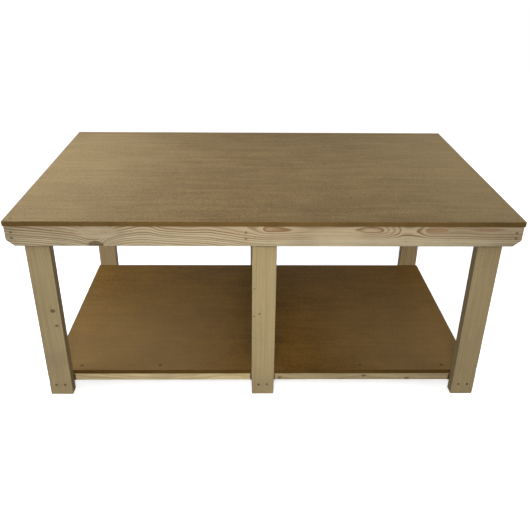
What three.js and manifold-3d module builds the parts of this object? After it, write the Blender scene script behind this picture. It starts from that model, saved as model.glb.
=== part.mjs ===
// Assembly table: a sheet top on a timber frame, six timber legs and a low shelf, all screwed together.
// Millimetres, +Z up. The front faces -Y, the length runs along X, and the origin lies on the floor
// under the middle of the top.
import * as THREE from 'three';
import { mergeVertices } from 'three/addons/utils/BufferGeometryUtils.js';
import Module from 'manifold-3d';

// The whole table.
const TABLE_HEIGHT = 775;
const TOP_LENGTH = 1830;
const TOP_DEPTH = 1220;
const TOP_THICKNESS = 18;
const TOP_OVERHANG = 3;

// Timbers of the top frame, which stand on edge.
const RAIL_HEIGHT = 76;
const RAIL_THICKNESS = 45;
const CROSS_RAIL_THICKNESS = 45;
const RAIL_CHAMFER_LENGTH = 28;
const RAIL_CHAMFER_HEIGHT = 23;

// Legs, with the wide face towards the front.
const LEG_WIDTH = 90;
const LEG_THICKNESS = 45;
const MIDDLE_LEG_X = 0;

// Lower cross rails, which lie flat and carry the shelf.
const LOWER_RAIL_WIDTH = 102;
const LOWER_RAIL_HEIGHT = 31;
const LOWER_RAIL_FLOOR_GAP = 38;

// Shelf and the battens under its long edges.
const SHELF_THICKNESS = 18;
const SHELF_END_INSET = 2;
const SHELF_FRONT_GAP = 2;
const SHELF_REAR_GAP = 28;
const BATTEN_WIDTH = 56;
const BATTEN_HEIGHT = 31;

// Countersunk screws: one stock for each kind of joint.
const FRAME_SCREW = { headDiameter: 10, shankDiameter: 5, length: 90 };
const LEG_SCREW = { headDiameter: 12, shankDiameter: 6, length: 110 };
const TOP_SCREW = { headDiameter: 8, shankDiameter: 4, length: 35 };
const SHELF_SCREW = { headDiameter: 8, shankDiameter: 4, length: 40 };
const SCREW_SIDES = 12;
const SCREW_RIM = 0.6;
const SCREW_POINT = 8;
const SCREW_SINK = 1;
const SCREW_CLEARANCE = 0.3;
const DRILL_OVERRUN = 2;

// Places of the screws.
const RAIL_SCREW_UPPER_DROP = 24;
const RAIL_SCREW_LOWER_DROP = 46;
const LOWER_SCREW_SPACING = 35;
const LOWER_SCREW_HEIGHT = 47;
const SHELF_SCREW_END_INSET = 22;
const SHELF_SCREW_EDGE_INSET = 35;

// Vertices closer than this are one vertex.
const MERGE_TOLERANCE = 1e-4;

// Levels and planes that the pieces share.
const FRAME_TOP = TABLE_HEIGHT - TOP_THICKNESS;
const RAIL_CENTRE_Z = FRAME_TOP - RAIL_HEIGHT / 2;
const RAIL_LENGTH = TOP_LENGTH - 2 * TOP_OVERHANG;
const RAIL_OUTER_Y = TOP_DEPTH / 2 - TOP_OVERHANG;
const RAIL_INNER_Y = RAIL_OUTER_Y - RAIL_THICKNESS;
const RAIL_CENTRE_Y = (RAIL_OUTER_Y + RAIL_INNER_Y) / 2;
const LEG_INNER_Y = RAIL_INNER_Y - LEG_THICKNESS;
const LEG_CENTRE_Y = (RAIL_INNER_Y + LEG_INNER_Y) / 2;
const END_CROSS_RAIL_X = (RAIL_LENGTH - CROSS_RAIL_THICKNESS) / 2;
const CORNER_LEG_OUTER_X = RAIL_LENGTH / 2 - CROSS_RAIL_THICKNESS;
const CORNER_LEG_X = CORNER_LEG_OUTER_X - LEG_WIDTH / 2;
const MIDDLE_CROSS_RAIL_X = MIDDLE_LEG_X - (LEG_WIDTH + CROSS_RAIL_THICKNESS) / 2;
const LOWER_RAIL_CENTRE_Z = LOWER_RAIL_FLOOR_GAP + LOWER_RAIL_HEIGHT / 2;
const LOWER_RAIL_TOP = LOWER_RAIL_FLOOR_GAP + LOWER_RAIL_HEIGHT;
const SHELF_TOP = LOWER_RAIL_TOP + SHELF_THICKNESS;
const SHELF_LENGTH = 2 * (CORNER_LEG_OUTER_X - SHELF_END_INSET);
const SHELF_FRONT_Y = -LEG_INNER_Y + SHELF_FRONT_GAP;
const SHELF_REAR_Y = LEG_INNER_Y - SHELF_REAR_GAP;

// The table repeats over its stations along X and over its two long sides.
const STATIONS = [
  { name: 'left', legX: -CORNER_LEG_X, crossRailX: -END_CROSS_RAIL_X, screwFace: -1 },
  { name: 'middle', legX: MIDDLE_LEG_X, crossRailX: MIDDLE_CROSS_RAIL_X, screwFace: -1 },
  { name: 'right', legX: CORNER_LEG_X, crossRailX: END_CROSS_RAIL_X, screwFace: 1 },
];
const SIDES = [
  { name: 'front', outward: -1, shelfEdgeY: SHELF_FRONT_Y },
  { name: 'rear', outward: 1, shelfEdgeY: SHELF_REAR_Y },
];

// Finishes, read off the photographed surfaces.
const FINISHES = {
  topSheet: { color: 0x9a8359, roughness: 0.8, metalness: 0 },
  shelfSheet: { color: 0x7d6238, roughness: 0.85, metalness: 0 },
  pine: { color: 0xb79f72, roughness: 0.7, metalness: 0 },
  screw: { color: 0x8a7440, roughness: 0.4, metalness: 0.9 },
};

const wasm = await Module();
wasm.setup();

const table = new THREE.Group();
const timbers = new Map();

// Closed mesh to boolean solid: shared vertices are merged and collapsed triangles dropped.
function toSolid(geometry) {
  const bare = geometry.clone();
  bare.deleteAttribute('normal');
  bare.deleteAttribute('uv');
  const merged = mergeVertices(bare, MERGE_TOLERANCE);
  const corners = merged.index.array;
  const triangles = [];
  for (let i = 0; i < corners.length; i += 3) {
    const [a, b, c] = corners.slice(i, i + 3);
    if (a !== b && b !== c && c !== a) triangles.push(a, b, c);
  }
  return new wasm.Manifold(new wasm.Mesh({
    numProp: 3,
    vertProperties: Float32Array.from(merged.attributes.position.array),
    triVerts: Uint32Array.from(triangles),
  }));
}

// Boolean solid back to a drawable mesh.
function toGeometry(solid) {
  const mesh = solid.getMesh();
  const geometry = new THREE.BufferGeometry();
  geometry.setAttribute('position', new THREE.BufferAttribute(mesh.vertProperties, 3));
  geometry.setIndex(new THREE.BufferAttribute(mesh.triVerts, 1));
  geometry.computeVertexNormals();
  return geometry;
}

function newMesh(name, geometry, finish, parent) {
  const mesh = new THREE.Mesh(geometry, new THREE.MeshStandardMaterial(finish));
  mesh.name = name;
  parent.add(mesh);
  return mesh;
}

function newGroup(parent) {
  const group = new THREE.Group();
  parent.add(group);
  return group;
}

// A timber or sheet, placed by its centre. Screws that pass through it are drilled out later.
function addTimber(name, geometry, centre, finish, parent) {
  const mesh = newMesh(name, geometry, finish, parent);
  mesh.position.set(...centre);
  timbers.set(name, { mesh, drills: [] });
}

function addPlank(name, size, centre, finish, parent) {
  addTimber(name, new THREE.BoxGeometry(...size), centre, finish, parent);
}

// Lathe around Y of a countersunk screw, from its point at -length to its flat head at 0.
function screwGeometry({ headDiameter, shankDiameter, length }) {
  const head = headDiameter / 2;
  const shank = shankDiameter / 2;
  const neck = SCREW_RIM + head - shank;
  const profile = [
    [0, -length], [shank, SCREW_POINT - length], [shank, -neck], [head, -SCREW_RIM], [head, 0], [0, 0],
  ];
  return new THREE.LatheGeometry(profile.map(([r, y]) => new THREE.Vector2(r, y)), SCREW_SIDES);
}

// The hole that such a screw sits in: clear all round, and open past the timber's face.
function drillGeometry({ headDiameter, shankDiameter, length }) {
  const head = headDiameter / 2 + SCREW_CLEARANCE;
  const shank = shankDiameter / 2 + SCREW_CLEARANCE;
  const seat = -SCREW_RIM - SCREW_CLEARANCE;
  const end = -length - SCREW_CLEARANCE;
  const mouth = SCREW_SINK + DRILL_OVERRUN;
  const profile = [
    [0, end], [shank, end], [shank, seat - (head - shank)], [head, seat], [head, mouth], [0, mouth],
  ];
  return new THREE.LatheGeometry(profile.map(([r, y]) => new THREE.Vector2(r, y)), SCREW_SIDES);
}

// A screw driven into a face at the given point. The face's outward normal is the way the head looks.
function addScrew(name, stock, point, normal, throughTimbers, parent) {
  const outward = new THREE.Vector3(...normal);
  const mesh = newMesh(name, screwGeometry(stock), FINISHES.screw, parent);
  mesh.quaternion.setFromUnitVectors(new THREE.Vector3(0, 1, 0), outward);
  mesh.position.set(...point).addScaledVector(outward, -SCREW_SINK);
  mesh.updateMatrix();
  const drill = drillGeometry(stock).applyMatrix4(mesh.matrix);
  throughTimbers.forEach((timber) => timbers.get(timber).drills.push(drill));
}

// Cuts every screw's hole out of the timbers that it passes through.
function drillTimbers() {
  timbers.forEach(({ mesh, drills }) => {
    if (drills.length === 0) return;
    const { x, y, z } = mesh.position;
    const solid = drills.reduce(
      (rest, drill) => rest.subtract(toSolid(drill.clone().translate(-x, -y, -z))),
      toSolid(mesh.geometry),
    );
    mesh.geometry = toGeometry(solid);
  });
}

// Long rail on edge, with the lower corner taken off at both ends, about its own centre.
function railGeometry() {
  const end = RAIL_LENGTH / 2;
  const bottom = -RAIL_HEIGHT / 2;
  const top = RAIL_HEIGHT / 2;
  const outline = new THREE.Shape([
    new THREE.Vector2(-end + RAIL_CHAMFER_LENGTH, bottom),
    new THREE.Vector2(end - RAIL_CHAMFER_LENGTH, bottom),
    new THREE.Vector2(end, bottom + RAIL_CHAMFER_HEIGHT),
    new THREE.Vector2(end, top),
    new THREE.Vector2(-end, top),
    new THREE.Vector2(-end, bottom + RAIL_CHAMFER_HEIGHT),
  ]);
  const geometry = new THREE.ExtrudeGeometry(outline, { depth: RAIL_THICKNESS, bevelEnabled: false });
  return geometry.rotateX(Math.PI / 2).translate(0, RAIL_THICKNESS / 2, 0);
}

// Top: one sheet, flush on the frame.
function buildTop() {
  const size = [TOP_LENGTH, TOP_DEPTH, TOP_THICKNESS];
  addPlank('top_board', size, [0, 0, TABLE_HEIGHT - TOP_THICKNESS / 2], FINISHES.topSheet, table);
}

// Top frame: two long rails with three cross rails between them.
function buildTopFrame() {
  const frame = newGroup(table);
  for (const { name, outward } of SIDES) {
    const centre = [0, outward * RAIL_CENTRE_Y, RAIL_CENTRE_Z];
    addTimber(`${name}_top_rail`, railGeometry(), centre, FINISHES.pine, frame);
  }
  for (const { name, crossRailX } of STATIONS) {
    const size = [CROSS_RAIL_THICKNESS, 2 * RAIL_INNER_Y, RAIL_HEIGHT];
    const centre = [crossRailX, 0, RAIL_CENTRE_Z];
    addPlank(`${name}_top_cross_rail`, size, centre, FINISHES.pine, frame);
  }
}

// Legs: inside the long rails, each against its cross rail, up to the underside of the top.
function buildLegs() {
  const legs = newGroup(table);
  for (const side of SIDES) {
    for (const { name, legX } of STATIONS) {
      const size = [LEG_WIDTH, LEG_THICKNESS, FRAME_TOP];
      const centre = [legX, side.outward * LEG_CENTRE_Y, FRAME_TOP / 2];
      addPlank(`${side.name}_${name}_leg`, size, centre, FINISHES.pine, legs);
    }
  }
}

// Lower cross rails: flat between each front leg and the rear leg behind it.
function buildLowerRails() {
  const rails = newGroup(table);
  for (const { name, legX } of STATIONS) {
    const size = [LOWER_RAIL_WIDTH, 2 * LEG_INNER_Y, LOWER_RAIL_HEIGHT];
    const centre = [legX, 0, LOWER_RAIL_CENTRE_Z];
    addPlank(`${name}_lower_cross_rail`, size, centre, FINISHES.pine, rails);
  }
}

// The two bays between neighbouring lower cross rails, as [low x, high x] of a batten.
function battenBays() {
  return STATIONS.slice(1).map((right, i) => ({
    name: right.name === 'middle' ? 'left' : 'right',
    low: STATIONS[i].legX + LOWER_RAIL_WIDTH / 2,
    high: right.legX - LOWER_RAIL_WIDTH / 2,
  }));
}

// Centre line of the battens along one long edge of the shelf.
function battenCentreY({ outward, shelfEdgeY }) {
  return shelfEdgeY - outward * BATTEN_WIDTH / 2;
}

// Shelf: one sheet on the lower cross rails, stiffened by a batten under each edge of each bay.
function buildShelf() {
  const shelf = newGroup(table);
  const size = [SHELF_LENGTH, SHELF_REAR_Y - SHELF_FRONT_Y, SHELF_THICKNESS];
  const centre = [0, (SHELF_REAR_Y + SHELF_FRONT_Y) / 2, SHELF_TOP - SHELF_THICKNESS / 2];
  addPlank('shelf_board', size, centre, FINISHES.shelfSheet, shelf);
  for (const side of SIDES) {
    for (const { name, low, high } of battenBays()) {
      const battenSize = [high - low, BATTEN_WIDTH, BATTEN_HEIGHT];
      const battenCentre = [(low + high) / 2, battenCentreY(side), LOWER_RAIL_TOP - BATTEN_HEIGHT / 2];
      addPlank(`${side.name}_${name}_shelf_batten`, battenSize, battenCentre, FINISHES.pine, shelf);
    }
  }
}

// Rail screws: two, one above the other, through the long rail into each cross rail's end.
function fastenTopFrame(parent) {
  const heights = {
    upper: FRAME_TOP - RAIL_SCREW_UPPER_DROP,
    lower: FRAME_TOP - RAIL_SCREW_LOWER_DROP,
  };
  for (const side of SIDES) {
    for (const { name, crossRailX } of STATIONS) {
      for (const [level, z] of Object.entries(heights)) {
        const point = [crossRailX, side.outward * RAIL_OUTER_Y, z];
        const through = [`${side.name}_top_rail`, `${name}_top_cross_rail`];
        const screw = `${side.name}_rail_${name}_${level}_screw`;
        addScrew(screw, FRAME_SCREW, point, [0, side.outward, 0], through, parent);
      }
    }
  }
}

// Leg screws: one through each cross rail's face into the leg, between the two rail screws.
function fastenLegs(parent) {
  const z = FRAME_TOP - (RAIL_SCREW_UPPER_DROP + RAIL_SCREW_LOWER_DROP) / 2;
  for (const side of SIDES) {
    for (const { name, crossRailX, screwFace } of STATIONS) {
      const x = crossRailX + screwFace * CROSS_RAIL_THICKNESS / 2;
      const point = [x, side.outward * LEG_CENTRE_Y, z];
      const through = [`${name}_top_cross_rail`, `${side.name}_${name}_leg`];
      addScrew(`${side.name}_${name}_leg_screw`, LEG_SCREW, point, [screwFace, 0, 0], through, parent);
    }
  }
}

// Lower screws: two side by side through each leg's face into the lower cross rail's end.
function fastenLowerRails(parent) {
  const offsets = { left: -LOWER_SCREW_SPACING / 2, right: LOWER_SCREW_SPACING / 2 };
  for (const side of SIDES) {
    for (const { name, legX } of STATIONS) {
      for (const [hand, offset] of Object.entries(offsets)) {
        const point = [legX + offset, side.outward * RAIL_INNER_Y, LOWER_SCREW_HEIGHT];
        const through = [`${side.name}_${name}_leg`, `${name}_lower_cross_rail`];
        const screw = `${side.name}_${name}_foot_${hand}_screw`;
        addScrew(screw, FRAME_SCREW, point, [0, side.outward, 0], through, parent);
      }
    }
  }
}

// Top screws: down through the top into the frame, at its corners and half-way along its ends.
function fastenTop(parent) {
  const ends = STATIONS.filter(({ name }) => name !== 'middle');
  for (const { name, crossRailX } of ends) {
    for (const side of SIDES) {
      const corner = [crossRailX, side.outward * RAIL_CENTRE_Y, TABLE_HEIGHT];
      const through = ['top_board', `${side.name}_top_rail`];
      addScrew(`top_${side.name}_${name}_screw`, TOP_SCREW, corner, [0, 0, 1], through, parent);
    }
    const through = ['top_board', `${name}_top_cross_rail`];
    addScrew(`top_${name}_end_screw`, TOP_SCREW, [crossRailX, 0, TABLE_HEIGHT], [0, 0, 1], through, parent);
  }
}

// Shelf screws: down through the shelf into the outer end of each batten.
function fastenShelf(parent) {
  for (const side of SIDES) {
    for (const { name, low, high } of battenBays()) {
      const x = name === 'left' ? low + SHELF_SCREW_END_INSET : high - SHELF_SCREW_END_INSET;
      const point = [x, side.shelfEdgeY - side.outward * SHELF_SCREW_EDGE_INSET, SHELF_TOP];
      const through = ['shelf_board', `${side.name}_${name}_shelf_batten`];
      addScrew(`shelf_${side.name}_${name}_screw`, SHELF_SCREW, point, [0, 0, 1], through, parent);
    }
  }
}

buildTop();
buildTopFrame();
buildLegs();
buildLowerRails();
buildShelf();

const screws = newGroup(table);
fastenTopFrame(screws);
fastenLegs(screws);
fastenLowerRails(screws);
fastenTop(screws);
fastenShelf(screws);
drillTimbers();

export default table;
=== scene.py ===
"""Looks of the assembly table, built around its packed construction model.

The table has six pine legs, a pine frame, a sheet top and a sheet shelf, all screwed together.
Every piece is made in mesh code, in metres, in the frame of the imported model.
"""

import logging
import math
import random
from dataclasses import dataclass, field
from enum import Enum
from typing import Any, Dict, List, Optional, Sequence, Tuple, Union

import bmesh
import bpy
from mathutils import Matrix, Vector, noise


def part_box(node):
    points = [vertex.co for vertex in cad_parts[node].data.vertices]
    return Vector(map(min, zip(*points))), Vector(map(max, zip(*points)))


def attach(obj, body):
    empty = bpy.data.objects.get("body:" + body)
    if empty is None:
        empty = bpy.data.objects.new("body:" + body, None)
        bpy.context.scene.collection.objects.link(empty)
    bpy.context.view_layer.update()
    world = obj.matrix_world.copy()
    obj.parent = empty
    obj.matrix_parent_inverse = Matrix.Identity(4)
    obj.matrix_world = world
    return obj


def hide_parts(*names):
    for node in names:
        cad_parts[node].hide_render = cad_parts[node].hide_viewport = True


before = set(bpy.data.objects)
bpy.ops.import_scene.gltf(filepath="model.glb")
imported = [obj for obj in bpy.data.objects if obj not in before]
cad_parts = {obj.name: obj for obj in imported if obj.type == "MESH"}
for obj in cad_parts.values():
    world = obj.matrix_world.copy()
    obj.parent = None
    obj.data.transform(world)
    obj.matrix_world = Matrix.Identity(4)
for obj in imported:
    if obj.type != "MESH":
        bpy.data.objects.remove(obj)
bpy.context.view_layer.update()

LOG = logging.getLogger("assembly_table")
ROOT = "root"
ARRIS = "arris"
MM = 0.001
MM_PER_METRE = 1000.0
WHITE = (1.0, 1.0, 1.0, 1.0)
UPWARD = (0.0, 0.0, 1.0)
BOARD_SHARP = 38.0
SCREW_SHARP = 32.0

Colour = Tuple[float, float, float, float]
Pair = Tuple[float, float]
Point = Tuple[float, float, float]
Line = Tuple[Pair, ...]
Socket = bpy.types.NodeSocket
Feed = Union[Socket, float, Sequence[float]]


def shade(code: str) -> Colour:
    """Turn a six-digit screen colour into the linear colour that shaders take.

    The screen's standard curve is straight near black and a power above it.

    Args:
        code: Red, green and blue as six hexadecimal digits.

    Returns:
        Linear red, green and blue, with full opacity.
    """
    linear = []
    for start in (0, 2, 4):
        value = int(code[start:start + 2], 16) / 255
        linear.append(value / 12.92 if value <= 0.04045 else ((value + 0.055) / 1.055) ** 2.4)
    return (linear[0], linear[1], linear[2], 1.0)


def link(name: str, data: Any) -> bpy.types.Object:
    """Add an object to the scene.

    Args:
        name: The object's name.
        data: Its mesh, camera or lamp.

    Returns:
        The object.
    """
    piece = bpy.data.objects.new(name, data)
    bpy.context.scene.collection.objects.link(piece)
    return piece


def mark(mesh: bpy.types.Mesh, values: Sequence[float]) -> None:
    """Write how near an edge each point of a mesh is, or how much painted shade darkens it."""
    mesh.attributes.new(ARRIS, "FLOAT", "POINT").data.foreach_set("value", values)


class SocketKind(Enum):
    """What a node group's socket carries."""

    VALUE = "NodeSocketFloat"
    VECTOR = "NodeSocketVector"


class Graph:
    """Shorthand for adding and joining the nodes of one tree."""

    def __init__(self, tree: bpy.types.NodeTree) -> None:
        """Keep the tree that nodes are added to."""
        self.tree = tree

    def add(self, kind: str, **settings: Any) -> bpy.types.Node:
        """Add one node.

        Args:
            kind: Blender's name for the kind of node.
            settings: Properties to set on the new node.

        Returns:
            The new node.
        """
        node = self.tree.nodes.new(kind)
        for name, value in settings.items():
            setattr(node, name, value)
        return node

    def feed(self, socket: Socket, value: Feed) -> None:
        """Link a socket to an input, or set the input's own value.

        Args:
            socket: The input.
            value: Another node's output, or a constant.
        """
        if isinstance(value, bpy.types.NodeSocket):
            self.tree.links.new(value, socket)
        else:
            socket.default_value = value

    def math(self, operation: str, *values: Feed, clamp: bool = False) -> Socket:
        """Add a Math node.

        Args:
            operation: The sum to do.
            values: Its inputs, in order.
            clamp: Whether the result is held between 0 and 1.

        Returns:
            The result.
        """
        node = self.add("ShaderNodeMath", operation=operation, use_clamp=clamp)
        for socket, value in zip(node.inputs, values):
            self.feed(socket, value)
        return node.outputs[0]

    def vector(self, operation: str, *values: Feed) -> Socket:
        """Add a Vector Math node.

        Args:
            operation: The sum to do.
            values: Its vector inputs, in order.

        Returns:
            The vector, or the number for a length or a dot product.
        """
        node = self.add("ShaderNodeVectorMath", operation=operation)
        for socket, value in zip(node.inputs, values):
            self.feed(socket, value)
        return node.outputs["Value" if operation in ("LENGTH", "DOT_PRODUCT") else "Vector"]

    def split(self, vector: Feed) -> Tuple[Socket, Socket, Socket]:
        """Take a vector apart.

        Args:
            vector: The vector.

        Returns:
            Its three numbers.
        """
        node = self.add("ShaderNodeSeparateXYZ")
        self.feed(node.inputs[0], vector)
        return node.outputs[0], node.outputs[1], node.outputs[2]

    def join(self, *values: Feed) -> Socket:
        """Put three numbers together.

        Args:
            values: The numbers.

        Returns:
            The vector.
        """
        node = self.add("ShaderNodeCombineXYZ")
        for socket, value in zip(node.inputs, values):
            self.feed(socket, value)
        return node.outputs[0]

    def ramp(self, value: Feed, low: float, high: float, start: float = 0.0, end: float = 1.0) -> Socket:
        """Map a value smoothly from one range to another.

        Args:
            value: The value to map.
            low: Where the ramp begins.
            high: Where the ramp ends.
            start: The result at and before low.
            end: The result at and after high.

        Returns:
            The mapped value.
        """
        node = self.add("ShaderNodeMapRange", interpolation_type="SMOOTHSTEP")
        inputs = {"Value": value, "From Min": low, "From Max": high, "To Min": start, "To Max": end}
        for name, number in inputs.items():
            self.feed(node.inputs[name], number)
        return node.outputs[0]

    def mix(self, share: Feed, first: Feed, second: Feed, blend: str = "MIX") -> Socket:
        """Mix two colours.

        Args:
            share: How much of the second colour shows.
            first: The colour underneath.
            second: The colour on top.
            blend: How the second colour lies on the first.

        Returns:
            The mixed colour.
        """
        node = self.add("ShaderNodeMix", data_type="RGBA", blend_type=blend)
        # The node's colour sockets are found by place, because its other kinds share their names.
        for index, value in ((0, share), (6, first), (7, second)):
            self.feed(node.inputs[index], value)
        return node.outputs[2]

    def coat(self, under: Feed, mask: Socket, share: float, code: str) -> Socket:
        """Lay a colour over another where a mask is.

        Args:
            under: The colour underneath.
            mask: Where the new colour lies.
            share: How much of it shows where the mask is full.
            code: The new colour, as six hexadecimal digits.

        Returns:
            The mixed colour.
        """
        return self.mix(self.math("MULTIPLY", mask, share), under, shade(code))

    def noise(self, place: Feed, scale: float = 1.0, detail: float = 2.0, roughness: float = 0.5) -> Socket:
        """Add soft noise over space.

        Args:
            place: The position to read the noise at.
            scale: How many lumps to a unit of position.
            detail: How many finer layers are added.
            roughness: How strong the finer layers are.

        Returns:
            The noise, mostly between 0.3 and 0.7.
        """
        node = self.add("ShaderNodeTexNoise", noise_dimensions="3D")
        inputs = {"Vector": place, "Scale": scale, "Detail": detail, "Roughness": roughness}
        for name, value in inputs.items():
            self.feed(node.inputs[name], value)
        return node.outputs[0]

    def drift(self, place: Feed, detail: float = 1.0) -> Socket:
        """Add soft noise along one number, centred on nought.

        Args:
            place: The number to read the noise at.
            detail: How many finer layers are added.

        Returns:
            The noise, mostly between -0.25 and 0.25.
        """
        node = self.add("ShaderNodeTexNoise", noise_dimensions="1D")
        for name, value in {"W": place, "Scale": 1.0, "Detail": detail}.items():
            self.feed(node.inputs[name], value)
        return self.math("SUBTRACT", node.outputs[0], 0.5)

    def group(self, tree: bpy.types.NodeTree, **values: Feed) -> bpy.types.Node:
        """Place a shared effect.

        Args:
            tree: The effect's node group.
            values: What its named inputs take.

        Returns:
            The placed node.
        """
        node = self.add("ShaderNodeGroup", node_tree=tree)
        for name, value in values.items():
            self.feed(node.inputs[name], value)
        return node


@dataclass(frozen=True)
class Ports:
    """The inside of a node group while it is being made."""

    graph: Graph
    source: bpy.types.Node
    sink: bpy.types.Node

    def take(self, name: str) -> Socket:
        """Give the socket that brings a named input in."""
        return self.source.outputs[name]

    def give(self, name: str, value: Feed) -> None:
        """Send a value to a named output."""
        self.graph.feed(self.sink.inputs[name], value)


class Effects:
    """The shader effects that several finishes share, each built once as a node group.

    Lengths are in millimetres and scales in lumps to a millimetre. A fade is the pair of values
    between which something comes in or goes out.
    """

    # How a log's rings wander along it, ripple, and darken towards the end of each summer.
    wander_length: float = 420.0
    wander_gap: float = 37.2
    ripple_length: Point = (95.0, 26.0, 26.0)
    ripple_share: float = 0.28
    uneven_rate: float = 0.37
    uneven_share: float = 1.5
    summer_in: Pair = (0.25, 0.86)
    summer_out: Pair = (0.9, 1.0)
    faintest_ring: float = 0.5
    heart_out: Pair = (14.0, 44.0)

    # How a knot's outline wobbles, and how its rim, its own rings and its pull spread.
    wobble_scale: float = 0.16
    wobble_share: float = 1.5
    knot_out: Pair = (0.45, 1.25)
    rim_in: Pair = (0.55, 0.95)
    rim_out: Pair = (0.98, 1.3)
    knot_turns: float = 15.0
    knot_turn_share: float = 0.25
    pull_reach: float = 2.6

    # How long and how dense the fibres and pores of the wood lie.
    streak_scale: Point = (0.0035, 0.11, 0.11)
    streak_in: Pair = (0.32, 0.7)
    pore_scale: Point = (0.03, 0.95, 0.95)
    pore_in: Pair = (0.5, 0.72)
    pore_height: float = 0.7

    # How large and how rare the marks of use are.
    mark_shift: float = 91.0
    worn_scale: float = 0.045
    worn_in: Pair = (0.38, 0.62)
    grime_scale: float = 0.006
    grime_in: Pair = (0.46, 0.74)
    speck_scale: float = 0.14
    speck_in: Pair = (0.735, 0.775)

    # How the flecks, strands and clouds of the pressed sheets lie.
    fleck_scale: Point = (0.16, 0.3, 0.3)
    fleck_in: Pair = (0.36, 0.6)
    strand_scale: Point = (0.004, 0.05, 0.05)
    strand_in: Pair = (0.35, 0.65)
    cloud_scale: float = 0.0036
    cloud_in: Pair = (0.34, 0.66)

    def __init__(self) -> None:
        """Build every group."""
        self.rings = self._growth_rings()
        self.swirl = self._swirl()
        self.knot = self._knot()
        self.fibres = self._fibres()
        self.handling = self._handling()
        self.pressed = self._pressed_fibre()

    @staticmethod
    def _open(name: str, inputs: Dict[str, SocketKind], outputs: Sequence[str]) -> Ports:
        """Start a node group.

        Args:
            name: The group's name.
            inputs: Its inputs and what they carry.
            outputs: Its outputs, which carry values.

        Returns:
            The group's inside, ready for nodes.
        """
        tree = bpy.data.node_groups.new(name, "ShaderNodeTree")
        given = {label: SocketKind.VALUE for label in outputs}
        for side, sockets in (("INPUT", inputs), ("OUTPUT", given)):
            for label, kind in sockets.items():
                tree.interface.new_socket(name=label, in_out=side, socket_type=kind.value)
        graph = Graph(tree)
        return Ports(graph, graph.add("NodeGroupInput"), graph.add("NodeGroupOutput"))

    def _growth_rings(self) -> bpy.types.NodeTree:
        """Make the yearly rings of a log that a board is sawn from.

        Position is in millimetres, along and away from the pith. Lift pushes rings outwards.

        Returns:
            A group that gives the dark summer wood and the share of heartwood.
        """
        ports = self._open(
            "growth_rings",
            {"Position": SocketKind.VECTOR, "Lift": SocketKind.VALUE, "Spacing": SocketKind.VALUE,
             "Wander": SocketKind.VALUE, "Seed": SocketKind.VALUE},
            ("Latewood", "Heart"))
        g = ports.graph
        along, across, depth = g.split(ports.take("Position"))
        seed, wander, spacing = ports.take("Seed"), ports.take("Wander"), ports.take("Spacing")
        reach = g.math("MULTIPLY_ADD", along, 1 / self.wander_length, seed)
        across = g.math("MULTIPLY_ADD", g.drift(reach), wander, across)
        depth = g.math("MULTIPLY_ADD", g.drift(g.math("ADD", reach, self.wander_gap)), wander, depth)
        radius = g.vector("LENGTH", g.join(across, depth, 0.0))
        scale = tuple(1 / length for length in self.ripple_length)
        place = g.vector("ADD", g.vector("MULTIPLY", g.join(along, across, depth), scale), g.join(seed, seed, seed))
        ripple = g.math("SUBTRACT", g.noise(place), 0.5)
        radius = g.math("MULTIPLY_ADD", ripple, g.math("MULTIPLY", wander, self.ripple_share), radius)
        radius = g.math("SUBTRACT", radius, ports.take("Lift"))
        count = g.math("DIVIDE", radius, spacing)
        uneven = g.drift(g.math("MULTIPLY_ADD", count, self.uneven_rate, seed), detail=2.0)
        count = g.math("MULTIPLY_ADD", uneven, self.uneven_share, count)
        part = g.math("FRACT", count)
        late = g.math("MULTIPLY", g.ramp(part, *self.summer_in), g.ramp(part, *self.summer_out, 1.0, 0.0))
        ring = g.add("ShaderNodeTexWhiteNoise", noise_dimensions="1D")
        g.feed(ring.inputs["W"], g.math("ADD", g.math("FLOOR", count), seed))
        strength = g.math("MULTIPLY_ADD", ring.outputs["Value"], 1 - self.faintest_ring, self.faintest_ring)
        ports.give("Latewood", g.math("MULTIPLY", late, strength))
        ports.give("Heart", g.ramp(radius, *self.heart_out, 1.0, 0.0))
        return g.tree

    def _swirl(self) -> bpy.types.NodeTree:
        """Make a soft round bulge, which marks a patch of a board or the painted shade round a screw.

        Returns:
            A group that gives the bulge's height.
        """
        ports = self._open(
            "ring_swirl",
            {"Position": SocketKind.VECTOR, "Centre": SocketKind.VECTOR, "Reach": SocketKind.VECTOR,
             "Height": SocketKind.VALUE},
            ("Lift",))
        g = ports.graph
        away = g.vector("SUBTRACT", ports.take("Position"), ports.take("Centre"))
        away = g.vector("DIVIDE", away, ports.take("Reach"))
        fall = g.math("EXPONENT", g.math("MULTIPLY", g.vector("DOT_PRODUCT", away, away), -1.0))
        ports.give("Lift", g.math("MULTIPLY", fall, ports.take("Height")))
        return g.tree

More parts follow.
